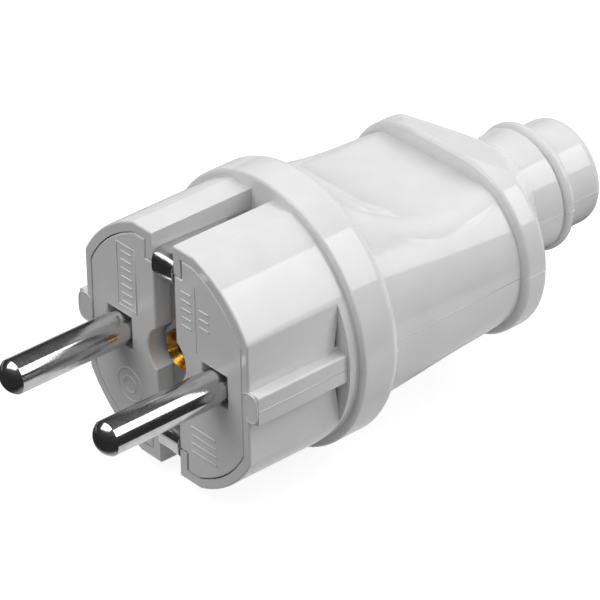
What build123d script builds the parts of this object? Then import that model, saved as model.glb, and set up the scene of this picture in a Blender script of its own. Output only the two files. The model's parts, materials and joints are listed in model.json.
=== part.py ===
from build123d import *
from math import radians, tan
import os

# Straight earthed plug with two round pins and spring earth contacts above and below.
# Millimetres. X runs across the pins, +Y towards the cord, +Z up.
# The origin is the middle of the front face, halfway between the pins.

# Pins
PIN_DIAMETER = 4.8
PIN_PITCH = 19.0
PIN_LENGTH = 19.0
PIN_DOME_HEIGHT = 1.5
PIN_ROOT_DIAMETER = 4.4
PIN_SQUARE = 4.8
PIN_SQUARE_CORNER = 0.3
PIN_SQUARE_START = 2.2
PIN_SQUARE_END = 4.6
PIN_SPIGOT_DIAMETER = 3.2
PIN_STAKE_DIAMETER = 3.9
PIN_STAKE_HEIGHT = 0.5

# Housing: front sleeve, guide rails and collar
SLEEVE_DIAMETER = 36.8
SLEEVE_SIDE_CUT = 2.3
SLEEVE_TOP_CUT = 1.0
SLEEVE_FLAT_WIDTH = SLEEVE_DIAMETER - 2 * SLEEVE_SIDE_CUT
SLEEVE_FLAT_HEIGHT = SLEEVE_DIAMETER - 2 * SLEEVE_TOP_CUT
SLEEVE_CORNER_RADIUS = 1.0
SLEEVE_WALL_SIDE = 1.1
SLEEVE_WALL_TOP = 1.4
SLEEVE_EDGE_RADIUS = 0.3
FLAT_LENGTH = 15.0
COLLAR_FRONT = 16.5
COLLAR_REAR = 23.0
COLLAR_DIAMETER = 38.8
COLLAR_FRONT_RADIUS = 0.5
COLLAR_REAR_RADIUS = 1.6
RAIL_WIDTH = 35.7
RAIL_HEIGHT = 4.3
RAIL_START = 0.2
RAIL_EDGE_RADIUS = 0.4
SLOT_WIDTH = 4.15
SLOT_WALL = 1.3
SLOT_WALL_FOOT = 13.3
WINDOW_GAP_TO_RAIL = 0.5
WINDOW_HEIGHT = 5.0
WINDOW_START = 14.0
WINDOW_LENGTH = 1.8
WINDOW_DEPTH = 0.9

# Housing: grip, rear rim, shoulder and neck
GRIP_FRONT_HALF_WIDTH = 17.3
GRIP_FRONT_HALF_HEIGHT = 17.0
GRIP_MIDDLE = 34.0
GRIP_MIDDLE_HALF_WIDTH = 17.0
GRIP_MIDDLE_HALF_HEIGHT = 14.0
GRIP_REAR_HALF_WIDTH = 16.7
GRIP_REAR_HALF_HEIGHT = 12.0
GRIP_SIDE_FLAT = 0.5
ROUND_SIDE_FLAT = 0.05
THUMB_REST_HEIGHT = 10.4
THUMB_REST_Y = 41.0
THUMB_REST_RADIUS = 29.0
THUMB_REST_BLEND = 5.0
RIM_FRONT = 46.4
RIM_LENGTH = 3.6
RIM_HALF_WIDTH = 17.7
RIM_HALF_HEIGHT = 13.3
RIM_EDGE_RADIUS = 0.9
SHOULDER_SLOPE = 24.5
SHOULDER_END = 57.5
NECK_DIAMETER = 16.8
NECK_FIRST_END = 61.8
NECK_FLARE_DIAMETER = 17.7
NECK_GROOVE_DIAMETER = 16.8
NECK_RING_START = 62.3
NECK_RING_DIAMETER = 18.5
NECK_RING_LENGTH = 1.5
NECK_RING_EDGE_RADIUS = 0.7
NECK_END_DIAMETER = 15.3
HOUSING_END = 70.5
NECK_EDGE_RADIUS = 1.5
CORD_BORE_DIAMETER = 9.5
CORD_BORE_CHAMFER = 0.6

# Housing: hollow for the wires behind the pin carrier
CARRIER_SEAT = 17.5
CAVITY_FRONT_HALF_WIDTH = 13.8
CAVITY_FRONT_HALF_HEIGHT = 14.2
CAVITY_MIDDLE_HALF_WIDTH = 14.5
CAVITY_MIDDLE_HALF_HEIGHT = 9.8
CAVITY_REAR = 45.5
CAVITY_REAR_HALF_WIDTH = 14.2
CAVITY_REAR_HALF_HEIGHT = 8.8
CAVITY_THROAT = 53.0

# Pin carrier
CARRIER_CLEARANCE = 0.15
CARRIER_CORNER_RADIUS = 0.8
CARRIER_EDGE = 0.15
CARRIER_PLATE = 7.0
CARRIER_SKIRT = 1.4
CHANNEL_WIDTH = 4.15
CHANNEL_DEPTH = 3.4
POCKET_DIAMETER = 7.5
PIN_HOLE_SQUARE = 4.95
HOLE_CLEARANCE = 0.05
NOTCH_CLEARANCE = 0.25
LATCH_HEIGHT = 0.85
LATCH_CLEARANCE = 0.3
CRADLE_WALL = 1.2
CRADLE_CLEARANCE = 0.1
CRADLE_END = 9.6
DRIVER_CLEARANCE = 0.35

# Earth strip
STRIP_WIDTH = 3.9
STRIP_THICKNESS = 0.8
NOSE_FRONT = -0.3
NOSE_TOP = 15.1
NOSE_FOOT = 11.0
STRIP_TIP_Y = 15.6
STRIP_TIP_TOP = 14.6
STRIP_BEND_RADIUS = 1.25
STRIP_EYE_DIAMETER = 7.0

# Hollow rivet
RIVET_DIAMETER = 4.4
RIVET_BORE = 3.6
RIVET_HEAD_DIAMETER = 5.6
RIVET_HEAD_HEIGHT = 0.55
RIVET_FUNNEL_DEPTH = 1.2
RIVET_FUNNEL_EDGE = 0.3

# Line and neutral terminals
TERMINAL_WIDTH = 6.6
TERMINAL_HEIGHT = 7.2
TERMINAL_LENGTH = 8.5
TERMINAL_FOOT = 2.4
TERMINAL_EDGE = 0.4
WIRE_HOLE_DIAMETER = 4.2
TERMINAL_SCREW_Y = 12.6
TERMINAL_SCREW_TIP = 0.6
TERMINAL_SCREW_LIFT = 0.6

# Screws
SMALL_SCREW = 3.0
SMALL_HEAD_DIAMETER = 5.2
SMALL_HEAD_HEIGHT = 1.9
EARTH_SCREW = 3.5
EARTH_HEAD_DIAMETER = 6.0
EARTH_HEAD_HEIGHT = 2.2
EARTH_SCREW_LENGTH = 5.5
DRIVER_SLOT_WIDTH = 0.8
DRIVER_SLOT_DEPTH = 0.9
HEAD_EDGE_RADIUS = 0.4
TIP_CHAMFER = 0.4

# Earth terminal
EARTH_SHEET = 1.2
EARTH_SHEET_WIDTH = 8.0
EARTH_TAB_TOP = 6.5
EARTH_TAB_END = 25.0
EARTH_PLATE_FOOT = -4.0
EARTH_BEND_RADIUS = 1.2
EARTH_SCREW_Y = 21.2
CLAMP_WASHER_SIZE = 7.0
CLAMP_WASHER_CORNER = 0.3
CLAMP_WASHER_THICKNESS = 1.0
SPRING_WASHER_DIAMETER = 5.8
SPRING_WASHER_THICKNESS = 0.8
SPRING_WASHER_SLIT = 0.6

# Cord clamp
CLAMP_BORE = 7.2
CLAMP_Y = 35.0
CLAMP_LENGTH = 7.0
CLAMP_SCREW_PITCH = 15.0
CLAMP_EAR_HEIGHT = 2.5
CLAMP_EAR_RADIUS = 3.5
CLAMP_CROWN = 1.7
BEAM_HALF_WIDTH = 6.0
BEAM_THICKNESS = 2.4
CLAMP_BASE = 7.2
CLAMP_BASE_CORNER = 1.2
CLAMP_SCREW_LENGTH = 9.5
NUT_SIZE = 5.5
NUT_HEIGHT = 2.2
NUT_CLEARANCE = 0.1


def cross_plane(y):
    """Plane across the plug at y, seen from the front: a negative amount goes to the cord."""
    return Plane.XZ.offset(-y)


def sleeve_outline(margin_side, margin_top):
    """Draw the front outline, a circle with four flats, inset from the sleeve's outside."""
    Circle(SLEEVE_DIAMETER / 2 - margin_top)
    Rectangle(
        SLEEVE_FLAT_WIDTH - 2 * margin_side,
        SLEEVE_FLAT_HEIGHT - 2 * margin_top,
        mode=Mode.INTERSECT,
    )


def grip_section(half_width, half_height):
    """Draw a flattened round section on the plug's axis."""
    RectangleRounded(2 * half_width, 2 * half_height, half_height - GRIP_SIDE_FLAT)


def round_section(diameter):
    """Draw a circle that has the same corners and sides as the grip's sections."""
    RectangleRounded(diameter, diameter, diameter / 2 - ROUND_SIDE_FLAT)


def finish_piece(part, name):
    """Name a finished piece and write it."""
    part.label = name
    export_step(part, f"parts/{name}.step")


os.makedirs("parts", exist_ok=True)

# Collar, turned about the axis with its rounded edges
with BuildPart() as collar:
    with BuildSketch(Plane.XY) as collar_half:
        with Locations((COLLAR_DIAMETER / 4, (COLLAR_FRONT + COLLAR_REAR) / 2)):
            Rectangle(COLLAR_DIAMETER / 2, COLLAR_REAR - COLLAR_FRONT)
        fillet(collar_half.vertices().group_by(Axis.Y)[0].sort_by(Axis.X)[-1], COLLAR_FRONT_RADIUS)
        fillet(collar_half.vertices().group_by(Axis.Y)[-1].sort_by(Axis.X)[-1], COLLAR_REAR_RADIUS)
    revolve(axis=Axis.Y)

# Neck: a flared length, a groove, a rounded ring and the narrower end, turned about the axis
with BuildPart() as neck:
    with BuildSketch(Plane.XY) as neck_half:
        with BuildLine():
            Polyline(
                (0, RIM_FRONT + RIM_LENGTH),
                (NECK_DIAMETER / 2, RIM_FRONT + RIM_LENGTH),
                (NECK_DIAMETER / 2, SHOULDER_END),
                (NECK_FLARE_DIAMETER / 2, NECK_FIRST_END),
                (NECK_GROOVE_DIAMETER / 2, NECK_FIRST_END),
                (NECK_GROOVE_DIAMETER / 2, NECK_RING_START),
                (NECK_RING_DIAMETER / 2, NECK_RING_START),
                (NECK_RING_DIAMETER / 2, NECK_RING_START + NECK_RING_LENGTH),
                (NECK_END_DIAMETER / 2, NECK_RING_START + NECK_RING_LENGTH),
                (NECK_END_DIAMETER / 2, HOUSING_END),
                (0, HOUSING_END),
                close=True,
            )
        make_face()
        fillet(neck_half.vertices().group_by(Axis.X)[-1], NECK_RING_EDGE_RADIUS)
        fillet(neck_half.vertices().group_by(Axis.Y)[-1].sort_by(Axis.X)[-1], NECK_EDGE_RADIUS)
    revolve(axis=Axis.Y)

# Rear end: raised rim behind the grip and a shoulder that slopes to the neck
with BuildPart() as rear_end:
    with BuildSketch(cross_plane(RIM_FRONT)):
        grip_section(RIM_HALF_WIDTH, RIM_HALF_HEIGHT)
    extrude(amount=-RIM_LENGTH)
    fillet(rear_end.faces().sort_by(Axis.Y)[0].edges(), RIM_EDGE_RADIUS)
    with BuildSketch(cross_plane(RIM_FRONT + RIM_LENGTH)):
        grip_section(RIM_HALF_WIDTH, RIM_HALF_HEIGHT)
    with BuildSketch(cross_plane(SHOULDER_END)):
        round_section(NECK_DIAMETER)
    loft()
    rim_rear = RIM_FRONT + RIM_LENGTH
    fillet(rear_end.edges().filter_by_position(Axis.Y, rim_rear, rim_rear), RIM_EDGE_RADIUS)
    # Flat slopes above and below, from the rim's crest to the neck
    ridge = RIM_FRONT + RIM_EDGE_RADIUS
    slope_drop = (SHOULDER_END - ridge) * tan(radians(SHOULDER_SLOPE))
    with BuildSketch(Plane.YZ):
        with BuildLine():
            Polyline(
                (ridge, RIM_HALF_HEIGHT),
                (SHOULDER_END, RIM_HALF_HEIGHT - slope_drop),
                (SHOULDER_END, RIM_HALF_WIDTH),
                (ridge, RIM_HALF_WIDTH),
                close=True,
            )
        make_face()
        mirror(about=Plane.XZ)
    extrude(amount=RIM_HALF_WIDTH, both=True, mode=Mode.SUBTRACT)
    add(neck.part)

# Grip: loft from the collar to the rim, with a thumb rest above and below
with BuildPart() as grip:
    with BuildSketch(cross_plane(COLLAR_REAR - COLLAR_REAR_RADIUS)):
        grip_section(GRIP_FRONT_HALF_WIDTH, GRIP_FRONT_HALF_HEIGHT)
    with BuildSketch(cross_plane(GRIP_MIDDLE)):
        grip_section(GRIP_MIDDLE_HALF_WIDTH, GRIP_MIDDLE_HALF_HEIGHT)
    with BuildSketch(cross_plane(RIM_FRONT + RIM_EDGE_RADIUS)):
        grip_section(GRIP_REAR_HALF_WIDTH, GRIP_REAR_HALF_HEIGHT)
    loft()
    rest_centre = THUMB_REST_HEIGHT + THUMB_REST_RADIUS
    with BuildSketch(Plane.YZ.offset(-RIM_HALF_WIDTH)):
        with Locations((THUMB_REST_Y, rest_centre), (THUMB_REST_Y, -rest_centre)):
            Circle(THUMB_REST_RADIUS)
    extrude(amount=2 * RIM_HALF_WIDTH, mode=Mode.SUBTRACT)
    rests = grip.faces().filter_by(GeomType.CYLINDER)
    rest_edges = rests.edges().filter_by(lambda edge: edge.center().Y < RIM_FRONT)
    fillet(rest_edges, THUMB_REST_BLEND)

# Housing: one moulding, open at the front for the pin carrier
with BuildPart() as housing:
    with BuildSketch(cross_plane(0)) as sleeve:
        sleeve_outline(0, 0)
        fillet(sleeve.vertices(), SLEEVE_CORNER_RADIUS)
    extrude(amount=-COLLAR_FRONT)
    fillet(housing.faces().sort_by(Axis.Y)[0].edges(), SLEEVE_EDGE_RADIUS)
    # Round band behind the side flats
    with BuildSketch(cross_plane(FLAT_LENGTH)):
        Circle(SLEEVE_DIAMETER / 2)
        Rectangle(SLEEVE_DIAMETER, SLEEVE_FLAT_HEIGHT, mode=Mode.INTERSECT)
    extrude(amount=FLAT_LENGTH - COLLAR_FRONT)
    # Guide rails
    with BuildSketch(cross_plane(RAIL_START)):
        RectangleRounded(RAIL_WIDTH, RAIL_HEIGHT, RAIL_EDGE_RADIUS)
    extrude(amount=RAIL_START - FLAT_LENGTH)
    add(collar.part)
    add(grip.part)
    add(rear_end.part)
    # Seat for the pin carrier
    with BuildSketch(cross_plane(0)) as bore:
        sleeve_outline(SLEEVE_WALL_SIDE, SLEEVE_WALL_TOP)
        fillet(bore.vertices(), CARRIER_CORNER_RADIUS + CARRIER_CLEARANCE)
    extrude(amount=-CARRIER_SEAT, mode=Mode.SUBTRACT)
    # Walls of the two contact slots, inside the sleeve
    slot_top = SLEEVE_FLAT_HEIGHT / 2
    wall_height = slot_top - SLEEVE_EDGE_RADIUS - SLOT_WALL_FOOT
    wall_middle = SLOT_WALL_FOOT + wall_height / 2
    with BuildSketch(cross_plane(0)):
        with Locations((0, wall_middle), (0, -wall_middle)):
            Rectangle(SLOT_WIDTH + 2 * SLOT_WALL, wall_height)
    extrude(amount=-CARRIER_SEAT)
    with BuildSketch(cross_plane(0)):
        with Locations((0, slot_top), (0, -slot_top)):
            Rectangle(SLOT_WIDTH, 2 * (slot_top - SLOT_WALL_FOOT))
    extrude(amount=-COLLAR_FRONT, mode=Mode.SUBTRACT)
    # Latch windows above and below each rail
    window_x = SLEEVE_FLAT_WIDTH / 2 + WINDOW_DEPTH / 2 - SLEEVE_WALL_SIDE / 2
    window_z = RAIL_HEIGHT / 2 + WINDOW_GAP_TO_RAIL + WINDOW_HEIGHT / 2
    with BuildSketch(cross_plane(WINDOW_START)):
        with GridLocations(2 * window_x, 2 * window_z, 2, 2):
            Rectangle(SLEEVE_WALL_SIDE + WINDOW_DEPTH, WINDOW_HEIGHT)
    extrude(amount=-WINDOW_LENGTH, mode=Mode.SUBTRACT)
    # Hollow for the wires, then the bore for the cord
    with BuildSketch(cross_plane(CARRIER_SEAT)):
        grip_section(CAVITY_FRONT_HALF_WIDTH, CAVITY_FRONT_HALF_HEIGHT)
    with BuildSketch(cross_plane(GRIP_MIDDLE)):
        grip_section(CAVITY_MIDDLE_HALF_WIDTH, CAVITY_MIDDLE_HALF_HEIGHT)
    with BuildSketch(cross_plane(CAVITY_REAR)):
        grip_section(CAVITY_REAR_HALF_WIDTH, CAVITY_REAR_HALF_HEIGHT)
    loft(mode=Mode.SUBTRACT)
    with BuildSketch(cross_plane(CAVITY_REAR)):
        grip_section(CAVITY_REAR_HALF_WIDTH, CAVITY_REAR_HALF_HEIGHT)
    with BuildSketch(cross_plane(CAVITY_THROAT)):
        round_section(CORD_BORE_DIAMETER)
    loft(mode=Mode.SUBTRACT)
    with BuildSketch(cross_plane(CAVITY_THROAT)):
        Circle(CORD_BORE_DIAMETER / 2)
    extrude(amount=CAVITY_THROAT - HOUSING_END, mode=Mode.SUBTRACT)
    mouth = housing.faces().sort_by(Axis.Y)[-1].inner_wires().edges()
    chamfer(mouth, CORD_BORE_CHAMFER)
finish_piece(housing.part, "housing")

# Pin carrier: front plate with a skirt, latches, terminal cradles and the cord clamp's base
with BuildPart() as pin_carrier:
    side = SLEEVE_WALL_SIDE + CARRIER_CLEARANCE
    top = SLEEVE_WALL_TOP + CARRIER_CLEARANCE
    with BuildSketch(cross_plane(0)) as block:
        sleeve_outline(side, top)
        fillet(block.vertices(), CARRIER_CORNER_RADIUS)
    extrude(amount=-CARRIER_SEAT)
    notch_width = SLOT_WIDTH + 2 * (SLOT_WALL + NOTCH_CLEARANCE)
    notch_foot = SLOT_WALL_FOOT - NOTCH_CLEARANCE
    notch_top = SLEEVE_FLAT_HEIGHT / 2
    # Hollow back, leaving the skirt and the walls round the notches
    with BuildSketch(cross_plane(CARRIER_PLATE)) as back:
        sleeve_outline(side + CARRIER_SKIRT, top + CARRIER_SKIRT)
        with Locations((0, notch_top), (0, -notch_top)):
            Rectangle(
                notch_width + 2 * CARRIER_SKIRT,
                2 * (notch_top - notch_foot + CARRIER_SKIRT),
                mode=Mode.SUBTRACT,
            )
    extrude(amount=CARRIER_PLATE - CARRIER_SEAT, mode=Mode.SUBTRACT)
    with BuildSketch(cross_plane(0)):
        with Locations((0, notch_top), (0, -notch_top)):
            Rectangle(notch_width, 2 * (notch_top - notch_foot))
    extrude(amount=-CARRIER_SEAT, mode=Mode.SUBTRACT)
    # Terminal cradles
    cradle_hole_width = TERMINAL_WIDTH + 2 * CRADLE_CLEARANCE
    cradle_hole_height = TERMINAL_HEIGHT + 2 * CRADLE_CLEARANCE
    with BuildSketch(cross_plane(CARRIER_PLATE)):
        with GridLocations(PIN_PITCH, 0, 2, 1):
            Rectangle(cradle_hole_width + 2 * CRADLE_WALL, cradle_hole_height + 2 * CRADLE_WALL)
    extrude(amount=CARRIER_PLATE - CRADLE_END)
    with BuildSketch(cross_plane(CARRIER_PLATE)):
        with GridLocations(PIN_PITCH, 0, 2, 1):
            Rectangle(cradle_hole_width, cradle_hole_height)
    extrude(amount=CARRIER_PLATE - CARRIER_SEAT, mode=Mode.SUBTRACT)
    # Ways through the skirt to the terminal screws
    with BuildSketch(Plane.XY):
        with Locations((0, TERMINAL_SCREW_Y)):
            with GridLocations(PIN_PITCH, 0, 2, 1):
                Circle(SMALL_HEAD_DIAMETER / 2 + DRIVER_CLEARANCE)
    extrude(amount=SLEEVE_DIAMETER / 2, mode=Mode.SUBTRACT)
    # Channel, rivet pocket and holes through the plate
    with BuildSketch(cross_plane(0)):
        Rectangle(CHANNEL_WIDTH, SLEEVE_FLAT_HEIGHT)
        Circle(POCKET_DIAMETER / 2)
    extrude(amount=-CHANNEL_DEPTH, mode=Mode.SUBTRACT)
    with BuildSketch(cross_plane(0)):
        with GridLocations(PIN_PITCH, 0, 2, 1):
            Rectangle(PIN_HOLE_SQUARE, PIN_HOLE_SQUARE)
    extrude(amount=-PIN_SQUARE_END, mode=Mode.SUBTRACT)
    with BuildSketch(cross_plane(0)):
        Circle(RIVET_DIAMETER / 2 + HOLE_CLEARANCE)
        with GridLocations(PIN_PITCH, 0, 2, 1):
            Circle(PIN_SPIGOT_DIAMETER / 2 + HOLE_CLEARANCE)
    extrude(amount=-CARRIER_PLATE, mode=Mode.SUBTRACT)
    chamfer(pin_carrier.faces().sort_by(Axis.Y)[:2].edges(), CARRIER_EDGE)
    # Latches that spring into the housing's windows
    latch_x = SLEEVE_FLAT_WIDTH / 2 - side
    latch_front = WINDOW_START + LATCH_CLEARANCE
    latch_rear = WINDOW_START + WINDOW_LENGTH - LATCH_CLEARANCE
    for latch_z in (window_z, -window_z):
        with BuildSketch(Plane.XY.offset(latch_z)):
            with BuildLine():
                Polyline(
                    (latch_x - CARRIER_SKIRT / 2, latch_front),
                    (latch_x + LATCH_HEIGHT, latch_front),
                    (latch_x, latch_rear),
                    (latch_x - CARRIER_SKIRT / 2, latch_rear),
                    close=True,
                )
            make_face()
            mirror(about=Plane.YZ)
        extrude(amount=WINDOW_HEIGHT / 2 - LATCH_CLEARANCE, both=True)
    # Beam and lower half of the cord clamp
    base_half_width = CLAMP_SCREW_PITCH / 2 + CLAMP_EAR_RADIUS
    with BuildSketch(cross_plane(CARRIER_PLATE)):
        with Locations((0, BEAM_THICKNESS / 2 - CLAMP_BASE)):
            Rectangle(2 * BEAM_HALF_WIDTH, BEAM_THICKNESS)
    extrude(amount=CARRIER_PLATE - CLAMP_Y)
    with BuildSketch(cross_plane(CLAMP_Y - CLAMP_LENGTH / 2)) as base:
        with Locations((0, -CLAMP_BASE / 2)):
            Rectangle(2 * base_half_width, CLAMP_BASE)
        fillet(base.vertices().group_by(Axis.Z)[0], CLAMP_BASE_CORNER)
        Circle(CLAMP_BORE / 2, mode=Mode.SUBTRACT)
    extrude(amount=-CLAMP_LENGTH)
    with BuildSketch(Plane.XY):
        with Locations((0, CLAMP_Y)):
            with GridLocations(CLAMP_SCREW_PITCH, 0, 2, 1):
                Circle(SMALL_SCREW / 2 + HOLE_CLEARANCE)
    extrude(amount=-CLAMP_BASE, mode=Mode.SUBTRACT)
    with BuildSketch(Plane.XY.offset(-CLAMP_BASE)):
        with Locations((0, CLAMP_Y)):
            with GridLocations(CLAMP_SCREW_PITCH, 0, 2, 1):
                RegularPolygon(NUT_SIZE / 2 + NUT_CLEARANCE, 6, major_radius=False)
    extrude(amount=NUT_HEIGHT, mode=Mode.SUBTRACT)
finish_piece(pin_carrier.part, "pin_carrier")

# Pins: domed shank, a neck inside the hole, a square that locks in it, and a staked spigot
stake_start = CARRIER_PLATE + TERMINAL_FOOT
for side_name, pin_x in (("left", -PIN_PITCH / 2), ("right", PIN_PITCH / 2)):
    with BuildPart() as pin:
        with BuildSketch(Plane.XY):
            with BuildLine():
                shoulder = (PIN_DIAMETER / 2, PIN_DOME_HEIGHT - PIN_LENGTH)
                dome_radius = (shoulder[0] ** 2 + PIN_DOME_HEIGHT**2) / (2 * PIN_DOME_HEIGHT)
                RadiusArc((0, -PIN_LENGTH), shoulder, -dome_radius)
                Polyline(
                    shoulder,
                    (PIN_DIAMETER / 2, 0),
                    (PIN_ROOT_DIAMETER / 2, 0),
                    (PIN_ROOT_DIAMETER / 2, PIN_SQUARE_START),
                    (PIN_SPIGOT_DIAMETER / 2, PIN_SQUARE_START),
                    (PIN_SPIGOT_DIAMETER / 2, stake_start),
                    (PIN_STAKE_DIAMETER / 2, stake_start),
                    (PIN_SPIGOT_DIAMETER / 2, stake_start + PIN_STAKE_HEIGHT),
                    (0, stake_start + PIN_STAKE_HEIGHT),
                    (0, -PIN_LENGTH),
                )
            make_face()
        revolve(axis=Axis.Y)
        with BuildSketch(cross_plane(PIN_SQUARE_START)):
            RectangleRounded(PIN_SQUARE, PIN_SQUARE, PIN_SQUARE_CORNER)
        extrude(amount=PIN_SQUARE_START - PIN_SQUARE_END)
    finish_piece(pin.part.moved(Location((pin_x, 0, 0))), f"pin_{side_name}")

# Line and neutral terminals: brass blocks staked to the pins
for side_name, pin_x in (("left", -PIN_PITCH / 2), ("right", PIN_PITCH / 2)):
    with BuildPart() as terminal:
        with BuildSketch(cross_plane(CARRIER_PLATE)):
            with Locations((pin_x, 0)):
                Rectangle(TERMINAL_WIDTH, TERMINAL_HEIGHT)
        extrude(amount=-TERMINAL_LENGTH)
        chamfer(terminal.faces().sort_by(Axis.Y)[-1].edges(), TERMINAL_EDGE)
        with BuildSketch(cross_plane(stake_start)):
            with Locations((pin_x, 0)):
                Circle(WIRE_HOLE_DIAMETER / 2)
        extrude(amount=TERMINAL_FOOT - TERMINAL_LENGTH, mode=Mode.SUBTRACT)
        with BuildSketch(cross_plane(CARRIER_PLATE)):
            with Locations((pin_x, 0)):
                Circle(PIN_SPIGOT_DIAMETER / 2 + HOLE_CLEARANCE)
        extrude(amount=-TERMINAL_FOOT, mode=Mode.SUBTRACT)
        with BuildSketch(Plane.XY):
            with Locations((pin_x, TERMINAL_SCREW_Y)):
                Circle(SMALL_SCREW / 2 + HOLE_CLEARANCE)
        extrude(amount=TERMINAL_HEIGHT / 2, mode=Mode.SUBTRACT)
    finish_piece(terminal.part, f"terminal_{side_name}")


def slotted_screw(diameter, head_diameter, head_height, length):
    """Slotted screw along Z with the underside of its head at the origin."""
    with BuildPart() as screw:
        with BuildSketch(Plane.XY):
            Circle(diameter / 2)
        extrude(amount=-length)
        chamfer(screw.faces().sort_by(Axis.Z)[0].edges(), TIP_CHAMFER)
        with BuildSketch(Plane.XY):
            Circle(head_diameter / 2)
        extrude(amount=head_height)
        fillet(screw.faces().sort_by(Axis.Z)[-1].edges(), HEAD_EDGE_RADIUS)
        with BuildSketch(Plane.XY.offset(head_height)):
            Rectangle(DRIVER_SLOT_WIDTH, head_diameter)
        extrude(amount=-DRIVER_SLOT_DEPTH, mode=Mode.SUBTRACT)
    return screw.part


# Terminal screws, from above
head_seat = TERMINAL_HEIGHT / 2 + TERMINAL_SCREW_LIFT
terminal_screw = slotted_screw(
    SMALL_SCREW, SMALL_HEAD_DIAMETER, SMALL_HEAD_HEIGHT, head_seat - TERMINAL_SCREW_TIP
)
for side_name, pin_x in (("left", -PIN_PITCH / 2), ("right", PIN_PITCH / 2)):
    place = Location((pin_x, TERMINAL_SCREW_Y, head_seat))
    finish_piece(terminal_screw.moved(place), f"terminal_screw_{side_name}")

# Earth strip: one bent spring from slot to slot, with a round eye for the rivet
with BuildPart() as earth_strip:
    half = STRIP_THICKNESS / 2
    tip = (STRIP_TIP_Y, STRIP_TIP_TOP - half)
    crest = (NOSE_FRONT + half, NOSE_TOP - half)
    foot = (NOSE_FRONT + half, NOSE_FOOT + half)
    back_y = CHANNEL_DEPTH - half
    upper = [(back_y, NOSE_FOOT + half), foot, crest, tip]
    lower = [(y, -z) for y, z in reversed(upper)]
    with BuildSketch(Plane.YZ):
        with BuildLine():
            FilletPolyline(*lower, *upper, radius=STRIP_BEND_RADIUS)
        trace(line_width=STRIP_THICKNESS)
    extrude(amount=STRIP_WIDTH / 2, both=True)
    with BuildSketch(cross_plane(CHANNEL_DEPTH)):
        Circle(STRIP_EYE_DIAMETER / 2)
    extrude(amount=STRIP_THICKNESS)
    with BuildSketch(cross_plane(0)):
        Circle(RIVET_DIAMETER / 2 + HOLE_CLEARANCE)
    extrude(amount=-CHANNEL_DEPTH, mode=Mode.SUBTRACT)
finish_piece(earth_strip.part, "earth_strip")

# Hollow rivet through the strip, the plate and the earth terminal
with BuildPart() as hollow_rivet:
    front_seat = CHANNEL_DEPTH - STRIP_THICKNESS
    rear_seat = CARRIER_PLATE + EARTH_SHEET
    with BuildSketch(Plane.XY):
        with BuildLine():
            Polyline(
                (RIVET_BORE / 2, front_seat - RIVET_HEAD_HEIGHT + RIVET_FUNNEL_DEPTH),
                (RIVET_HEAD_DIAMETER / 2 - RIVET_FUNNEL_EDGE, front_seat - RIVET_HEAD_HEIGHT),
                (RIVET_HEAD_DIAMETER / 2, front_seat - RIVET_HEAD_HEIGHT / 2),
                (RIVET_HEAD_DIAMETER / 2, front_seat),
                (RIVET_DIAMETER / 2, front_seat),
                (RIVET_DIAMETER / 2, rear_seat),
                (RIVET_HEAD_DIAMETER / 2, rear_seat),
                (RIVET_BORE / 2, rear_seat + RIVET_HEAD_HEIGHT),
                close=True,
            )
        make_face()
    revolve(axis=Axis.Y)
finish_piece(hollow_rivet.part, "hollow_rivet")

# Earth terminal: sheet brass bent back to a tapped tab
with BuildPart() as earth_terminal:
    sheet_middle = CARRIER_PLATE + EARTH_SHEET / 2
    tab_middle = EARTH_TAB_TOP - EARTH_SHEET / 2
    with BuildSketch(Plane.YZ):
        with BuildLine():
            FilletPolyline(
                (sheet_middle, EARTH_PLATE_FOOT),
                (sheet_middle, tab_middle),
                (EARTH_TAB_END, tab_middle),
                radius=EARTH_BEND_RADIUS,
            )
        trace(line_width=EARTH_SHEET)
    extrude(amount=EARTH_SHEET_WIDTH / 2, both=True)
    with BuildSketch(cross_plane(CARRIER_PLATE)):
        Circle(RIVET_DIAMETER / 2 + HOLE_CLEARANCE)
    extrude(amount=-EARTH_SHEET, mode=Mode.SUBTRACT)
    with BuildSketch(Plane.XY.offset(EARTH_TAB_TOP)):
        with Locations((0, EARTH_SCREW_Y)):
            Circle(EARTH_SCREW / 2 + HOLE_CLEARANCE)
    extrude(amount=-EARTH_SHEET, mode=Mode.SUBTRACT)
finish_piece(earth_terminal.part, "earth_terminal")

# Earth screw with its clamping washer and spring washer
clamp_washer_top = EARTH_TAB_TOP + CLAMP_WASHER_THICKNESS
spring_washer_top = clamp_washer_top + SPRING_WASHER_THICKNESS
with BuildPart() as earth_clamp_washer:
    with BuildSketch(Plane.XY.offset(EARTH_TAB_TOP)):
        with Locations((0, EARTH_SCREW_Y)):
            RectangleRounded(CLAMP_WASHER_SIZE, CLAMP_WASHER_SIZE, CLAMP_WASHER_CORNER)
            Circle(EARTH_SCREW / 2 + HOLE_CLEARANCE, mode=Mode.SUBTRACT)
    extrude(amount=CLAMP_WASHER_THICKNESS)
finish_piece(earth_clamp_washer.part, "earth_clamp_washer")

with BuildPart() as earth_spring_washer:
    with BuildSketch(Plane.XY.offset(clamp_washer_top)):
        with Locations((0, EARTH_SCREW_Y)):
            Circle(SPRING_WASHER_DIAMETER / 2)
            Circle(EARTH_SCREW / 2 + HOLE_CLEARANCE, mode=Mode.SUBTRACT)
        with Locations((0, EARTH_SCREW_Y + SPRING_WASHER_DIAMETER / 2)):
            Rectangle(SPRING_WASHER_SLIT, SPRING_WASHER_DIAMETER, mode=Mode.SUBTRACT)
    extrude(amount=SPRING_WASHER_THICKNESS)
finish_piece(earth_spring_washer.part, "earth_spring_washer")

earth_screw = slotted_screw(EARTH_SCREW, EARTH_HEAD_DIAMETER, EARTH_HEAD_HEIGHT, EARTH_SCREW_LENGTH)
finish_piece(
    earth_screw.moved(Location((0, EARTH_SCREW_Y, spring_washer_top))), "earth_screw"
)

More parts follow.
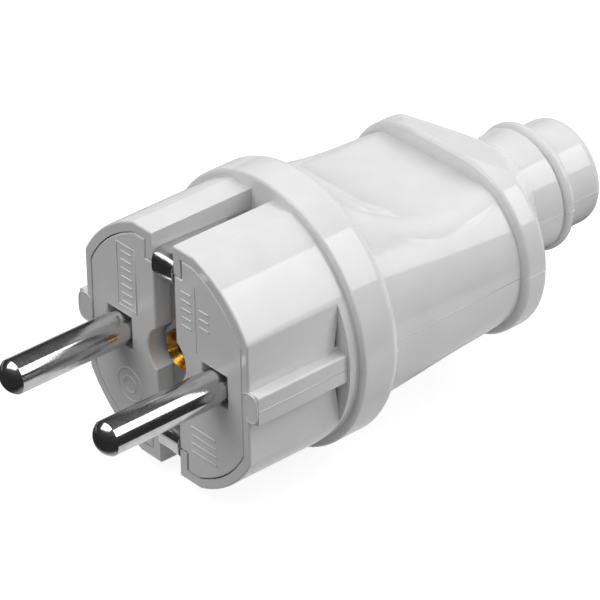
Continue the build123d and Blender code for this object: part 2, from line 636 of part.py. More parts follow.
# Cord clamp: arched bar over the base, two screws and their nuts
with BuildPart() as cord_clamp_bar:
    with BuildSketch(cross_plane(CLAMP_Y - CLAMP_LENGTH / 2)):
        with Locations((0, CLAMP_EAR_HEIGHT / 2)):
            Rectangle(2 * base_half_width, CLAMP_EAR_HEIGHT)
        Circle(CLAMP_BORE / 2 + CLAMP_CROWN)
        with Locations((0, -CLAMP_BORE)):
            Rectangle(2 * base_half_width, 2 * CLAMP_BORE, mode=Mode.SUBTRACT)
        Circle(CLAMP_BORE / 2, mode=Mode.SUBTRACT)
    extrude(amount=-CLAMP_LENGTH)
    with BuildSketch(Plane.XY):
        with Locations((0, CLAMP_Y)):
            with GridLocations(CLAMP_SCREW_PITCH, 0, 2, 1):
                Circle(SMALL_SCREW / 2 + HOLE_CLEARANCE)
    extrude(amount=CLAMP_EAR_HEIGHT, mode=Mode.SUBTRACT)
finish_piece(cord_clamp_bar.part, "cord_clamp_bar")

clamp_screw = slotted_screw(SMALL_SCREW, SMALL_HEAD_DIAMETER, SMALL_HEAD_HEIGHT, CLAMP_SCREW_LENGTH)
with BuildPart() as clamp_nut:
    with BuildSketch(Plane.XY):
        RegularPolygon(NUT_SIZE / 2, 6, major_radius=False)
        Circle(SMALL_SCREW / 2 + HOLE_CLEARANCE, mode=Mode.SUBTRACT)
    extrude(amount=NUT_HEIGHT)
for side_name, screw_x in (("left", -CLAMP_SCREW_PITCH / 2), ("right", CLAMP_SCREW_PITCH / 2)):
    screw_place = Location((screw_x, CLAMP_Y, CLAMP_EAR_HEIGHT))
    finish_piece(clamp_screw.moved(screw_place), f"cord_clamp_screw_{side_name}")
    nut_place = Location((screw_x, CLAMP_Y, -CLAMP_BASE))
    finish_piece(clamp_nut.part.moved(nut_place), f"cord_clamp_nut_{side_name}")
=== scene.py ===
import json
import math

import bmesh
import bpy
from mathutils import Matrix, Vector


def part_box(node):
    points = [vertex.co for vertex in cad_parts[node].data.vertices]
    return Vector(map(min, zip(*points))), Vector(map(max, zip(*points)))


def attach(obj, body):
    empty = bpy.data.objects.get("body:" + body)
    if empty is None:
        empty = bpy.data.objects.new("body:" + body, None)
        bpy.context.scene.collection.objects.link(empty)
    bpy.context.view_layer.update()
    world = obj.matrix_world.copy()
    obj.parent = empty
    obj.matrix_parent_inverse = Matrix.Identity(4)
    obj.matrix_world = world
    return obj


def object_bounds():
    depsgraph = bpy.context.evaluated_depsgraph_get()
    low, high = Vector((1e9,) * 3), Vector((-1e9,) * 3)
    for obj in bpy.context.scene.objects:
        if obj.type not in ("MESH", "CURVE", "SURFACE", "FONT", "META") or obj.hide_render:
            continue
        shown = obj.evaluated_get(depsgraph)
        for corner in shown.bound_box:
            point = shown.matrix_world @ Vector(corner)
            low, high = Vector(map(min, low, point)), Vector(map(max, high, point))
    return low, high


# Straight earthed plug with two round pins. Metres, in the frame of the solids:
# X across the pins, +Y towards the cord, +Z up, origin in the middle of the front face.

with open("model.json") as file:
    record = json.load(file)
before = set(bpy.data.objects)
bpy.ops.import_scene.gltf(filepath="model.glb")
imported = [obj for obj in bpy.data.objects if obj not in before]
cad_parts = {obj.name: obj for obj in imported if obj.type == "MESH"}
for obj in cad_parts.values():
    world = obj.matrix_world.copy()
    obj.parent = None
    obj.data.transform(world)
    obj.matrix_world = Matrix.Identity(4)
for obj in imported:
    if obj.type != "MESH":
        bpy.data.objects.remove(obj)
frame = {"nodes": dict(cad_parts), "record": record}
cad_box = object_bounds()
MM = 0.001

# Camera
CAMERA_AZIMUTH = 49.465
CAMERA_ELEVATION = 32.007
CAMERA_ROLL = -1.077
CAMERA_TARGET = (-0.498 * MM, 22.996 * MM, -1.478 * MM)
CAMERA_DISTANCE = 555.975 * MM
CAMERA_LENS = 255.176
CAMERA_NEAREST = 10 * MM
SENSOR_WIDTH = 36.0

# Lamps and world. Radiance 1 is white
SOFTBOX_DIRECTION = (0.58, 0.55, 0.60)
SOFTBOX_DISTANCE = 1.0
SOFTBOX_SIZE = (0.66, 0.40)
SOFTBOX_RADIANCE = 3.3
FRONT_BOX_DIRECTION = (-0.26, -0.52, 0.81)
FRONT_BOX_DISTANCE = 0.35
FRONT_BOX_SIZE = (0.36, 0.17)
FRONT_BOX_RADIANCE = 3.1
TOP_LIGHT_DIRECTION = (-0.08, 0.64, 0.76)
TOP_LIGHT_DISTANCE = 1.2
TOP_LIGHT_SIZE = (0.9, 0.9)
TOP_LIGHT_RADIANCE = 2.3
SIDE_LIGHT_DIRECTION = (0.99, -0.05, 0.08)
SIDE_LIGHT_SIZE = (0.5, 0.5)
SIDE_LIGHT_RADIANCE = 0.8
WORLD_FRONT = 0.26
WORLD_REAR = 0.48

# Floor: colour and glow as seen, then its colour where it lights the plug, from front to rear. That
# colour is darker in front, which paints shade onto the plug's front faces
FLOOR_SIZE = 8.0
FLOOR_COLOUR = 0.30
FLOOR_LIFT = 0.88
FLOOR_BOUNCE_FRONT = 0.04
FLOOR_BOUNCE_REAR = 0.42
FLOOR_BOUNCE_START = -40 * MM
FLOOR_BOUNCE_END = 30 * MM

# Pools of light on the floor, seen only in reflections
POOL_CENTRE = (5 * MM, 10 * MM)
POOL_INNER = 19 * MM
POOL_OUTER = 39 * MM
GRIP_POOL_CENTRE = (31 * MM, 54 * MM)
GRIP_POOL_INNER = 20 * MM
GRIP_POOL_OUTER = 36 * MM
POOL_BRIGHT = 0.78
POOL_DARK = 0.03
REAR_FLOOR_DIRECTION = (-0.6, 0.8, 0)
REAR_FLOOR_START = 55 * MM
REAR_FLOOR_END = 100 * MM
REAR_FLOOR_BRIGHT = 0.44

# Tent of dark walls, from its foot to its crown
TENT_RADIUS = 1.6
TENT_SEGMENTS = 48
TENT_RINGS = 24
TENT_DARK = 0.045
TENT_UPPER = 0.13
TENT_CROWN = 0.62
TENT_DARK_TOP = 0.2 * TENT_RADIUS
TENT_UPPER_START = 0.9 * TENT_RADIUS
TENT_CROWN_EDGE = 0.87 * TENT_RADIUS
TENT_CROWN_START = 0.96 * TENT_RADIUS

# Noise of the materials. Scales are in waves per metre, stops are the noise's levels that count
NOISE_DETAIL = 3.0
FINE_DETAIL = 2.0
MARKS_DETAIL = 6.0
COLOUR_STOPS = (0.35, 0.65)
NUMBER_STOPS = (0.3, 0.7)

# Plastics
PLASTIC_TONE_SCALE = 220.0
PLASTIC_ROUGHNESS_SCALE = 900.0
PLASTIC_ROUGHNESS_SPREAD = 0.03
PLASTIC_SKIN_SCALE = 6000.0
PLASTIC_IOR = 1.50

# Metals
METAL_TONE_SCALE = 500.0
METAL_ROUGHNESS_SHARES = (0.6, 1.4)
METAL_GRAIN_SCALE = 5200.0
METAL_GRAIN_SHARE = 0.55

# Parting line of the mould
PARTING_RADIUS = 0.07 * MM
WELD_DISTANCE = 0.001 * MM
SECTION_INNER_X = 1 * MM
SECTION_FRONT_Y = 3 * MM
SECTION_REAR_MARGIN = 0.05 * MM

# Raised marks of the front face
BEAD_RADIUS = 0.13 * MM
PANEL_LEFT, PANEL_RIGHT = -9.4 * MM, -5.7 * MM
PANEL_LOW, PANEL_HIGH = 3.7 * MM, 13.1 * MM
PANEL_BARS = 7
PANEL_MARGIN = 0.8 * MM
RING_CENTRE = (-7.8 * MM, -8.0 * MM)
RING_RADII = (2.4 * MM, 1.2 * MM)
RULE_X = 6.1 * MM
RULE_LOW, RULE_HIGH = 3.4 * MM, 13.2 * MM
RULE_BAR_GAP = 0.8 * MM
RULE_BAR_REACH = 2.6 * MM
INNER_BARS_LOW, INNER_BARS = RULE_LOW + 3 * MM, 5
OUTER_BARS_LOW, OUTER_BARS = RULE_LOW + 4.2 * MM, 3
LOWER_BARS_LEFT, LOWER_BARS_RIGHT = 4.6 * MM, 9.4 * MM
LOWER_BARS_LOW, LOWER_BARS = -12.2 * MM, 4
BAR_PITCH = 1.25 * MM

# Pads on the front ends of the rails
OVAL_STEPS = 48
RAIL_END_X = 16.4 * MM
RAIL_END_HALF_WIDTH = 1.4 * MM
RAIL_END_HALF_HEIGHT = 2.05 * MM
RAIL_END_FRONT = -0.06 * MM
RAIL_END_SQUARENESS = 1.5
RAIL_END_DEPTH = 0.6 * MM

# Band piece and web that close each latch window down to a slim wedge
WINDOW_LOW, WINDOW_HIGH = 2.62 * MM, 7.7 * MM
WINDOW_FRONT, WINDOW_REAR = 13.96 * MM, 15.84 * MM
BAND_FRONT = 14.97 * MM
BAND_RADIUS = 18.41 * MM
BAND_STEPS = 12
WEB_TOP = 16.08 * MM
WEB_FOOT = 15.72 * MM
WEDGE_FRONT, WEDGE_REAR = 14.35 * MM, 15.0 * MM
WEDGE_TIP = 7.2 * MM

# Screw threads
SMALL_SHANK_RADIUS = 1.5 * MM
SMALL_HEAD_HEIGHT = 1.9 * MM
EARTH_SHANK_RADIUS = 1.75 * MM
EARTH_HEAD_HEIGHT = 2.2 * MM
THREAD_PITCH = 0.5 * MM
THREAD_DEPTH = 0.12 * MM
THREAD_STEPS = 20
THREAD_TIP_GAP = 0.5 * MM
THREAD_HEAD_GAP = 0.3 * MM


def direction_from_angles(azimuth, elevation):
    """Unit vector from the object to a viewer at these angles in degrees."""
    a, e = math.radians(azimuth), math.radians(elevation)
    return Vector((math.sin(a) * math.cos(e), -math.cos(a) * math.cos(e), math.sin(e)))


def make_camera():
    """Camera at the viewing angle, rolled a little about its own axis."""
    back = direction_from_angles(CAMERA_AZIMUTH, CAMERA_ELEVATION)
    level_right = Vector((0, 0, 1)).cross(back).normalized()
    level_up = back.cross(level_right)
    roll = math.radians(CAMERA_ROLL)
    right = level_right * math.cos(roll) + level_up * math.sin(roll)
    up = back.cross(right)
    place = Vector(CAMERA_TARGET) + back * CAMERA_DISTANCE
    data = bpy.data.cameras.new("camera")
    data.lens = CAMERA_LENS
    data.sensor_width = SENSOR_WIDTH
    data.clip_start = CAMERA_NEAREST
    camera = bpy.data.objects.new("camera", data)
    rotation = Matrix((right, up, back)).transposed().to_4x4()
    camera.matrix_world = Matrix.Translation(place) @ rotation
    bpy.context.scene.collection.objects.link(camera)
    bpy.context.scene.camera = camera


def make_area_light(name, direction, distance, size, radiance, in_reflections=True):
    """Rectangular lamp that faces the plug, with its long side in the plane across the plug."""
    data = bpy.data.lights.new(name, "AREA")
    data.shape = "RECTANGLE"
    data.size, data.size_y = size
    data.energy = radiance * math.pi * size[0] * size[1]
    lamp = bpy.data.objects.new(name, data)
    back = Vector(direction).normalized()
    long_side = Vector((0, 1, 0)).cross(back).normalized()
    short_side = back.cross(long_side)
    rotation = Matrix((long_side, short_side, back)).transposed().to_4x4()
    lamp.matrix_world = Matrix.Translation(back * distance) @ rotation
    lamp.visible_glossy = in_reflections
    lamp.visible_camera = False
    bpy.context.scene.collection.objects.link(lamp)


def add_math(tree, operation, first, second):
    """Result of a sum, product or maximum of a socket and a socket or number."""
    node = tree.nodes.new("ShaderNodeMath")
    node.operation = operation
    tree.links.new(first, node.inputs[0])
    if isinstance(second, float):
        node.inputs[1].default_value = second
    else:
        tree.links.new(second, node.inputs[1])
    return node.outputs[0]


def add_fade(tree, value, start, end, start_level, end_level):
    """Level that changes smoothly from one value to another between start and end."""
    fade = tree.nodes.new("ShaderNodeMapRange")
    fade.interpolation_type = "SMOOTHSTEP"
    fade.inputs["From Min"].default_value = start
    fade.inputs["From Max"].default_value = end
    fade.inputs["To Min"].default_value = start_level
    fade.inputs["To Max"].default_value = end_level
    tree.links.new(value, fade.inputs["Value"])
    return fade.outputs["Result"]


def add_vector_math(tree, operation, vector, constant):
    """Vector node that works on a socket and a constant vector."""
    node = tree.nodes.new("ShaderNodeVectorMath")
    node.operation = operation
    node.inputs[1].default_value = constant
    tree.links.new(vector, node.inputs[0])
    return node


def link_seen_rays(tree):
    """Socket that is 1 for rays of the camera, of reflections and through glass, else 0."""
    path = tree.nodes.new("ShaderNodeLightPath")
    seen = add_math(tree, "MAXIMUM", path.outputs["Is Camera Ray"], path.outputs["Is Glossy Ray"])
    return add_math(tree, "MAXIMUM", seen, path.outputs["Is Transmission Ray"])


def make_world():
    """White world that lights the plug softly, with more light from behind it than from in front."""
    world = bpy.data.worlds.new("studio")
    bpy.context.scene.world = world
    world.use_nodes = True
    tree = world.node_tree
    background = tree.nodes["Background"]
    background.inputs["Color"].default_value = (1, 1, 1, 1)
    place = tree.nodes.new("ShaderNodeTexCoord")
    split = tree.nodes.new("ShaderNodeSeparateXYZ")
    fill = tree.nodes.new("ShaderNodeMapRange")
    fill.inputs["From Min"].default_value = -1.0
    fill.inputs["To Min"].default_value = WORLD_FRONT
    fill.inputs["To Max"].default_value = WORLD_REAR
    tree.links.new(place.outputs["Generated"], split.inputs[0])
    tree.links.new(split.outputs["Y"], fill.inputs["Value"])
    level = tree.nodes.new("ShaderNodeMix")
    level.data_type = "FLOAT"
    level.inputs["B"].default_value = 1.0
    tree.links.new(link_seen_rays(tree), level.inputs["Factor"])
    tree.links.new(fill.outputs["Result"], level.inputs["A"])
    tree.links.new(level.outputs["Result"], background.inputs["Strength"])


def new_material(name):
    """New material, its node tree and its shader."""
    material = bpy.data.materials.new(name)
    material.use_nodes = True
    tree = material.node_tree
    return material, tree, tree.nodes["Principled BSDF"]


def new_studio_material(name):
    """Matt material for the studio, with a white glow whose strength is set apart."""
    material, tree, shader = new_material(name)
    shader.inputs["Roughness"].default_value = 1.0
    shader.inputs["Specular IOR Level"].default_value = 0.0
    shader.inputs["Emission Color"].default_value = (1, 1, 1, 1)
    return material, tree, shader


def add_pool(tree, position, centre, inner, outer):
    """Level that is bright round a centre on the floor and dark further off."""
    offset = add_vector_math(tree, "SUBTRACT", position, (*centre, cad_box[0].z))
    reach = tree.nodes.new("ShaderNodeVectorMath")
    reach.operation = "LENGTH"
    tree.links.new(offset.outputs["Vector"], reach.inputs[0])
    return add_fade(tree, reach.outputs["Value"], inner, outer, POOL_BRIGHT, POOL_DARK)


def add_far_floor(tree, position):
    """Level that is bright where the floor lies well behind the plug."""
    along = add_vector_math(tree, "DOT_PRODUCT", position, REAR_FLOOR_DIRECTION)
    return add_fade(
        tree, along.outputs["Value"], REAR_FLOOR_START, REAR_FLOOR_END, 0, REAR_FLOOR_BRIGHT
    )


def make_floor():
    """White floor under the collar. In reflections it is bright only under and well behind the plug."""
    low = cad_box[0].z
    mesh = bpy.data.meshes.new("floor")
    half = FLOOR_SIZE / 2
    corners = [(-half, -half, low), (half, -half, low), (half, half, low), (-half, half, low)]
    mesh.from_pydata(corners, [], [(0, 1, 2, 3)])
    floor = bpy.data.objects.new("floor", mesh)
    bpy.context.scene.collection.objects.link(floor)

    material, tree, shader = new_studio_material("floor")
    seen = link_seen_rays(tree)
    position = tree.nodes.new("ShaderNodeNewGeometry").outputs["Position"]
    split = tree.nodes.new("ShaderNodeSeparateXYZ")
    tree.links.new(position, split.inputs[0])
    # Colour of the floor where it lights the plug: darker in front, painted shade for the plug's front
    # faces
    bounce = add_fade(
        tree,
        split.outputs["Y"],
        FLOOR_BOUNCE_START,
        FLOOR_BOUNCE_END,
        FLOOR_BOUNCE_FRONT,
        FLOOR_BOUNCE_REAR,
    )
    colour = tree.nodes.new("ShaderNodeMix")
    colour.data_type = "RGBA"
    colour.inputs["B"].default_value = (FLOOR_COLOUR, FLOOR_COLOUR, FLOOR_COLOUR, 1)
    tree.links.new(seen, colour.inputs["Factor"])
    tree.links.new(bounce, colour.inputs["A"])
    # Light falls off round the plug in reflections alone
    under_front = add_pool(tree, position, POOL_CENTRE, POOL_INNER, POOL_OUTER)
    under_grip = add_pool(tree, position, GRIP_POOL_CENTRE, GRIP_POOL_INNER, GRIP_POOL_OUTER)
    under_plug = add_math(tree, "MAXIMUM", under_front, under_grip)
    level = add_math(tree, "MAXIMUM", under_plug, add_far_floor(tree, position))
    path = tree.nodes.new("ShaderNodeLightPath")
    light = tree.nodes.new("ShaderNodeMix")
    light.data_type = "FLOAT"
    light.inputs["A"].default_value = 1.0
    tree.links.new(path.outputs["Is Glossy Ray"], light.inputs["Factor"])
    tree.links.new(level, light.inputs["B"])
    shade = tree.nodes.new("ShaderNodeMix")
    shade.data_type = "RGBA"
    shade.blend_type = "MULTIPLY"
    shade.inputs["Factor"].default_value = 1.0
    tree.links.new(colour.outputs["Result"], shade.inputs["A"])
    tree.links.new(light.outputs["Result"], shade.inputs["B"])
    tree.links.new(shade.outputs["Result"], shader.inputs["Base Color"])
    lift = add_math(tree, "MULTIPLY", seen, FLOOR_LIFT)
    glow = add_math(tree, "MULTIPLY", lift, light.outputs["Result"])
    tree.links.new(glow, shader.inputs["Emission Strength"])
    mesh.materials.append(material)


def make_tent():
    """Dark studio walls with a paler crown overhead, seen only in reflections."""
    mesh = bpy.data.meshes.new("tent")
    shape = bmesh.new()
    bmesh.ops.create_uvsphere(
        shape, u_segments=TENT_SEGMENTS, v_segments=TENT_RINGS, radius=TENT_RADIUS
    )
    shape.to_mesh(mesh)
    shape.free()
    tent = bpy.data.objects.new("tent", mesh)
    tent.visible_camera = False
    tent.visible_diffuse = False
    tent.visible_transmission = False
    tent.visible_shadow = False
    bpy.context.scene.collection.objects.link(tent)

    material, tree, shader = new_studio_material("tent")
    shader.inputs["Base Color"].default_value = (0, 0, 0, 1)
    geometry = tree.nodes.new("ShaderNodeNewGeometry")
    split = tree.nodes.new("ShaderNodeSeparateXYZ")
    tree.links.new(geometry.outputs["Position"], split.inputs[0])
    height = split.outputs["Z"]
    walls = add_fade(tree, height, TENT_DARK_TOP, TENT_UPPER_START, TENT_DARK, TENT_UPPER)
    crown = add_fade(tree, height, TENT_CROWN_EDGE, TENT_CROWN_START, 0, TENT_CROWN - TENT_UPPER)
    tree.links.new(add_math(tree, "ADD", walls, crown), shader.inputs["Emission Strength"])
    mesh.materials.append(material)


def add_noise(tree, scale, detail=NOISE_DETAIL, stretch=(1, 1, 1)):
    """Noise over the object's own coordinates, in metres."""
    place = tree.nodes.new("ShaderNodeTexCoord")
    mapping = tree.nodes.new("ShaderNodeMapping")
    mapping.inputs["Scale"].default_value = stretch
    noise = tree.nodes.new("ShaderNodeTexNoise")
    noise.inputs["Scale"].default_value = scale
    noise.inputs["Detail"].default_value = detail
    tree.links.new(place.outputs["Object"], mapping.inputs["Vector"])
    tree.links.new(mapping.outputs["Vector"], noise.inputs["Vector"])
    return noise.outputs["Fac"]


def add_ramp(tree, factor, low_colour, high_colour, target):
    """Colour that follows a noise between two tones."""
    ramp = tree.nodes.new("ShaderNodeValToRGB")
    for stop, place, colour in zip(ramp.color_ramp.elements, COLOUR_STOPS, (low_colour, high_colour)):
        stop.position = place
        stop.color = (*colour, 1)
    tree.links.new(factor, ramp.inputs["Fac"])
    tree.links.new(ramp.outputs["Color"], target)


def add_range(tree, factor, low, high, target):
    """Number that follows a noise between two values."""
    level = tree.nodes.new("ShaderNodeMapRange")
    level.inputs["From Min"].default_value = NUMBER_STOPS[0]
    level.inputs["From Max"].default_value = NUMBER_STOPS[1]
    level.inputs["To Min"].default_value = low
    level.inputs["To Max"].default_value = high
    tree.links.new(factor, level.inputs["Value"])
    tree.links.new(level.outputs["Result"], target)


def add_bump(tree, shader, factor, height):
    """Fine relief of this height that follows a noise."""
    bump = tree.nodes.new("ShaderNodeBump")
    bump.inputs["Strength"].default_value = 1.0
    bump.inputs["Distance"].default_value = height
    tree.links.new(factor, bump.inputs["Height"])
    tree.links.new(bump.outputs["Normal"], shader.inputs["Normal"])


def make_plastic(name, low_colour, high_colour, roughness, bump_height):
    """Moulded plastic: faint cloudy tone, slightly uneven gloss and a very fine skin."""
    material, tree, shader = new_material(name)
    tone = add_noise(tree, PLASTIC_TONE_SCALE)
    add_ramp(tree, tone, low_colour, high_colour, shader.inputs["Base Color"])
    gloss = add_noise(tree, PLASTIC_ROUGHNESS_SCALE)
    low = roughness - PLASTIC_ROUGHNESS_SPREAD
    high = roughness + PLASTIC_ROUGHNESS_SPREAD
    add_range(tree, gloss, low, high, shader.inputs["Roughness"])
    add_bump(tree, shader, add_noise(tree, PLASTIC_SKIN_SCALE, FINE_DETAIL), bump_height)
    shader.inputs["IOR"].default_value = PLASTIC_IOR
    return material


def make_metal(name, low_colour, high_colour, roughness, scratch_scale, scratch_stretch, scratch_depth):
    """Metal with a slightly uneven tone, drawn marks and a fine grain."""
    material, tree, shader = new_material(name)
    shader.inputs["Metallic"].default_value = 1.0
    tone = add_noise(tree, METAL_TONE_SCALE)
    add_ramp(tree, tone, low_colour, high_colour, shader.inputs["Base Color"])
    marks = add_noise(tree, scratch_scale, MARKS_DETAIL, scratch_stretch)
    low, high = (roughness * share for share in METAL_ROUGHNESS_SHARES)
    add_range(tree, marks, low, high, shader.inputs["Roughness"])
    relief = tree.nodes.new("ShaderNodeMath")
    relief.operation = "MULTIPLY_ADD"
    relief.inputs[1].default_value = METAL_GRAIN_SHARE
    tree.links.new(add_noise(tree, METAL_GRAIN_SCALE, FINE_DETAIL), relief.inputs[0])
    tree.links.new(marks, relief.inputs[2])
    add_bump(tree, shader, relief.outputs[0], scratch_depth)
    return material


def make_materials():
    """Material of each slot."""
    return {
        "white_plastic": make_plastic(
            "white_plastic",
            low_colour=(0.775, 0.775, 0.775),
            high_colour=(0.805, 0.805, 0.805),
            roughness=0.06,
            bump_height=0.001 * MM,
        ),
        "carrier_plastic": make_plastic(
            "carrier_plastic",
            low_colour=(0.80, 0.80, 0.80),
            high_colour=(0.83, 0.83, 0.83),
            roughness=0.32,
            bump_height=0.002 * MM,
        ),
        "clamp_plastic": make_plastic(
            "clamp_plastic",
            low_colour=(0.62, 0.62, 0.62),
            high_colour=(0.66, 0.66, 0.66),
            roughness=0.4,
            bump_height=0.005 * MM,
        ),
        "nickel": make_metal(
            "nickel",
            low_colour=(0.54, 0.54, 0.54),
            high_colour=(0.64, 0.64, 0.64),
            roughness=0.13,
            scratch_scale=900.0,
            scratch_stretch=(1, 6, 1),
            scratch_depth=0.011 * MM,
        ),
        "brass": make_metal(
            "brass",
            low_colour=(0.41, 0.195, 0.028),
            high_colour=(0.55, 0.28, 0.045),
            roughness=0.25,
            scratch_scale=1200.0,
            scratch_stretch=(1, 3, 1),
            scratch_depth=0.004 * MM,
        ),
        "zinc_steel": make_metal(
            "zinc_steel",
            low_colour=(0.60, 0.61, 0.63),
            high_colour=(0.70, 0.71, 0.73),
            roughness=0.25,
            scratch_scale=1500.0,
            scratch_stretch=(1, 1, 3),
            scratch_depth=0.004 * MM,
        ),
    }


def dress_nodes(materials):
    """Give every solid the material of its slot in the record."""
    for subpart in frame["record"]["subparts"]:
        node = frame["nodes"][subpart["node"]]
        node.data.materials.clear()
        node.data.materials.append(materials[subpart["material_slot"]])


def housing_section():
    """Ordered outer outline of the housing in the parting plane, on the +X side."""
    shape = bmesh.new()
    shape.from_mesh(frame["nodes"]["housing"].data)
    bmesh.ops.remove_doubles(shape, verts=shape.verts[:], dist=WELD_DISTANCE)
    cut = bmesh.ops.bisect_plane(
        shape,
        geom=shape.verts[:] + shape.edges[:] + shape.faces[:],
        plane_co=(0, 0, 0),
        plane_no=(0, 0, 1),
    )
    edges = [g for g in cut["geom_cut"] if isinstance(g, bmesh.types.BMEdge)]
    right = [e for e in edges if min(v.co.x for v in e.verts) > SECTION_INNER_X]
    neighbours = {}
    for edge in right:
        a, b = edge.verts
        neighbours.setdefault(a, []).append(b)
        neighbours.setdefault(b, []).append(a)
    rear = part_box("housing")[1].y
    front_verts = [v for v in neighbours if v.co.y < SECTION_FRONT_Y]
    start = max(front_verts, key=lambda v: v.co.x - v.co.y)
    path = [start.co.copy()]
    previous = start
    current = max(neighbours[start], key=lambda v: v.co.y)
    while current.co.y < rear - SECTION_REAR_MARGIN:
        path.append(current.co.copy())
        ahead = [v for v in neighbours[current] if v is not previous]
        previous, current = current, ahead[0]
    shape.free()
    return path


def make_tube(name, paths, radius):
    """Fine raised bead along each path of points."""
    curve = bpy.data.curves.new(name, "CURVE")
    curve.dimensions = "3D"
    curve.bevel_depth = radius
    curve.bevel_resolution = 1
    for path in paths:
        spline = curve.splines.new("POLY")
        spline.points.add(len(path) - 1)
        for point, co in zip(spline.points, path):
            point.co = (*co, 1)
    tube = bpy.data.objects.new(name, curve)
    bpy.context.scene.collection.objects.link(tube)
    return tube


def make_solid(name, shape):
    """Object with this shape, all faces turned outwards."""
    bmesh.ops.recalc_face_normals(shape, faces=shape.faces[:])
    mesh = bpy.data.meshes.new(name)
    shape.to_mesh(mesh)
    shape.free()
    solid = bpy.data.objects.new(name, mesh)
    bpy.context.scene.collection.objects.link(solid)
    return solid


def finish_piece(piece, slot, materials):
    """Give a piece its slot's material and let it ride with the plug."""
    piece.data.materials.append(materials[slot])
    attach(piece, "root")


def make_parting_line(materials):
    """Fine raised line where the two halves of the mould met, on both sides."""
    limit = cad_box[1] - Vector((PARTING_RADIUS, PARTING_RADIUS, 0))
    right = [Vector((min(p.x, limit.x), min(p.y, limit.y), 0)) for p in housing_section()]
    left = [Vector((-p.x, p.y, 0)) for p in right]
    finish_piece(make_tube("parting_line", [right, left], PARTING_RADIUS), "white_plastic", materials)


def oval(centre_x, centre_z, half_width, half_height, y=0, squareness=1.0):
    """Closed path round an oval that is parallel to the front face. Squareness 1 is an ellipse."""
    path = []
    for k in range(OVAL_STEPS + 1):
        turn = 2 * math.pi * k / OVAL_STEPS
        across, up = math.cos(turn), math.sin(turn)
        x = centre_x + half_width * math.copysign(abs(across) ** (1 / squareness), across)
        z = centre_z + half_height * math.copysign(abs(up) ** (1 / squareness), up)
        path.append(Vector((x, y, z)))
    return path


def bars(left, right, low, count):
    """Level bars on the front face, one above the other."""
    heights = [low + BAR_PITCH * k for k in range(count)]
    return [[Vector((left, 0, z)), Vector((right, 0, z))] for z in heights]


def make_face_marks(materials):
    """Plain raised panel, rings, rule and bars on the two halves of the front face."""
    corners = [
        (PANEL_LEFT, PANEL_LOW), (PANEL_RIGHT, PANEL_LOW), (PANEL_RIGHT, PANEL_HIGH),
        (PANEL_LEFT, PANEL_HIGH), (PANEL_LEFT, PANEL_LOW),
    ]
    paths = [[Vector((x, 0, z)) for x, z in corners]]
    paths += bars(
        PANEL_LEFT + PANEL_MARGIN, PANEL_RIGHT - PANEL_MARGIN, PANEL_LOW + PANEL_MARGIN, PANEL_BARS
    )
    paths += [oval(*RING_CENTRE, radius, radius) for radius in RING_RADII]
    paths.append([Vector((RULE_X, 0, RULE_LOW)), Vector((RULE_X, 0, RULE_HIGH))])
    paths += bars(RULE_X - RULE_BAR_REACH, RULE_X - RULE_BAR_GAP, INNER_BARS_LOW, INNER_BARS)
    paths += bars(RULE_X + RULE_BAR_GAP, RULE_X + RULE_BAR_REACH, OUTER_BARS_LOW, OUTER_BARS)
    paths += bars(LOWER_BARS_LEFT, LOWER_BARS_RIGHT, LOWER_BARS_LOW, LOWER_BARS)
    finish_piece(make_tube("face_marks", paths, BEAD_RADIUS), "carrier_plastic", materials)


def add_prism(shape, low_ring, high_ring):
    """Closed solid between two matching rings of points."""
    low = [shape.verts.new(p) for p in low_ring]
    high = [shape.verts.new(p) for p in high_ring]
    shape.faces.new(low)
    shape.faces.new(high)
    for k in range(len(low)):
        following = (k + 1) % len(low)
        shape.faces.new((low[k], low[following], high[following], high[k]))


def make_rail_ends(materials):
    """Oval pads at the rails' front ends, each with a fine ring."""
    shape = bmesh.new()
    rings = []
    for side in (-1, 1):
        outline = oval(
            side * RAIL_END_X,
            0,
            RAIL_END_HALF_WIDTH,
            RAIL_END_HALF_HEIGHT,
            RAIL_END_FRONT,
            RAIL_END_SQUARENESS,
        )
        rings.append(outline)
        front = outline[:-1]
        rear = [p + Vector((0, RAIL_END_DEPTH, 0)) for p in front]
        add_prism(shape, front, rear)
    finish_piece(make_solid("rail_ends", shape), "white_plastic", materials)
    finish_piece(make_tube("rail_end_rings", rings, PARTING_RADIUS), "white_plastic", materials)


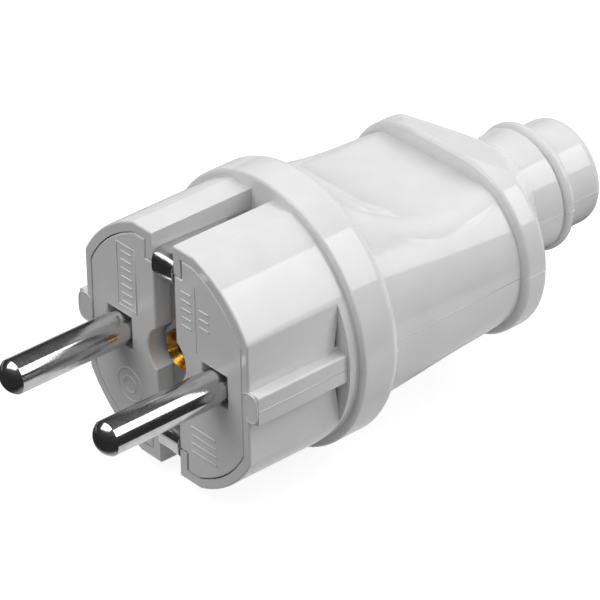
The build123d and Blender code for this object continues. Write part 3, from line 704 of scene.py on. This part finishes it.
def make_window_webs(materials):
    """Fill of each latch window: a piece of the round band, and a web in front of the open wedge."""
    shape = bmesh.new()
    span = WINDOW_HIGH - WINDOW_LOW
    heights = [WINDOW_LOW + span * k / BAND_STEPS for k in range(BAND_STEPS + 1)]
    web = [
        (WINDOW_FRONT, WINDOW_LOW), (WEDGE_FRONT, WINDOW_LOW), (WEDGE_REAR, WEDGE_TIP),
        (WEDGE_REAR, WINDOW_HIGH), (WINDOW_FRONT, WINDOW_HIGH),
    ]
    for side_x in (-1, 1):
        for side_z in (-1, 1):
            arc = [(math.sqrt(BAND_RADIUS**2 - z**2), z) for z in heights]
            section = [(WEB_FOOT, WINDOW_LOW)] + arc + [(WEB_FOOT, WINDOW_HIGH)]
            rings = [
                [Vector((side_x * x, y, side_z * z)) for x, z in section]
                for y in (BAND_FRONT, WINDOW_REAR)
            ]
            add_prism(shape, *rings)
            rings = [
                [Vector((side_x * x, y, side_z * z)) for y, z in web]
                for x in (WEB_FOOT, WEB_TOP)
            ]
            add_prism(shape, *rings)
    finish_piece(make_solid("window_webs", shape), "white_plastic", materials)


def make_threads(materials):
    """Raised helix on the shank of each screw, from under its head to near its tip."""
    names = [name for name in frame["nodes"] if "screw" in name]
    for name in names:
        low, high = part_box(name)
        shank, head_height = SMALL_SHANK_RADIUS, SMALL_HEAD_HEIGHT
        if name == "earth_screw":
            shank, head_height = EARTH_SHANK_RADIUS, EARTH_HEAD_HEIGHT
        middle_x, middle_y = (low.x + high.x) / 2, (low.y + high.y) / 2
        radius = shank - THREAD_DEPTH / 2
        start = low.z + THREAD_TIP_GAP
        end = high.z - head_height - THREAD_HEAD_GAP
        count = int((end - start) / THREAD_PITCH * THREAD_STEPS)
        path = []
        for step in range(count + 1):
            turn = 2 * math.pi * step / THREAD_STEPS
            x = middle_x + radius * math.cos(turn)
            y = middle_y + radius * math.sin(turn)
            z = start + THREAD_PITCH * step / THREAD_STEPS
            path.append(Vector((x, y, z)))
        thread = make_tube(f"{name}_thread", [path], THREAD_DEPTH)
        finish_piece(thread, "zinc_steel", materials)


make_camera()
make_area_light("softbox", SOFTBOX_DIRECTION, SOFTBOX_DISTANCE, SOFTBOX_SIZE, SOFTBOX_RADIANCE)
make_area_light(
    "front_box", FRONT_BOX_DIRECTION, FRONT_BOX_DISTANCE, FRONT_BOX_SIZE, FRONT_BOX_RADIANCE
)
make_area_light(
    "top_light",
    TOP_LIGHT_DIRECTION,
    TOP_LIGHT_DISTANCE,
    TOP_LIGHT_SIZE,
    TOP_LIGHT_RADIANCE,
    in_reflections=False,
)
make_area_light(
    "side_light",
    SIDE_LIGHT_DIRECTION,
    SOFTBOX_DISTANCE,
    SIDE_LIGHT_SIZE,
    SIDE_LIGHT_RADIANCE,
    in_reflections=False,
)
make_world()
make_floor()
make_tent()
materials = make_materials()
dress_nodes(materials)
make_parting_line(materials)
make_face_marks(materials)
make_rail_ends(materials)
make_window_webs(materials)
make_threads(materials)

bpy.context.scene.view_settings.view_transform = "Standard"
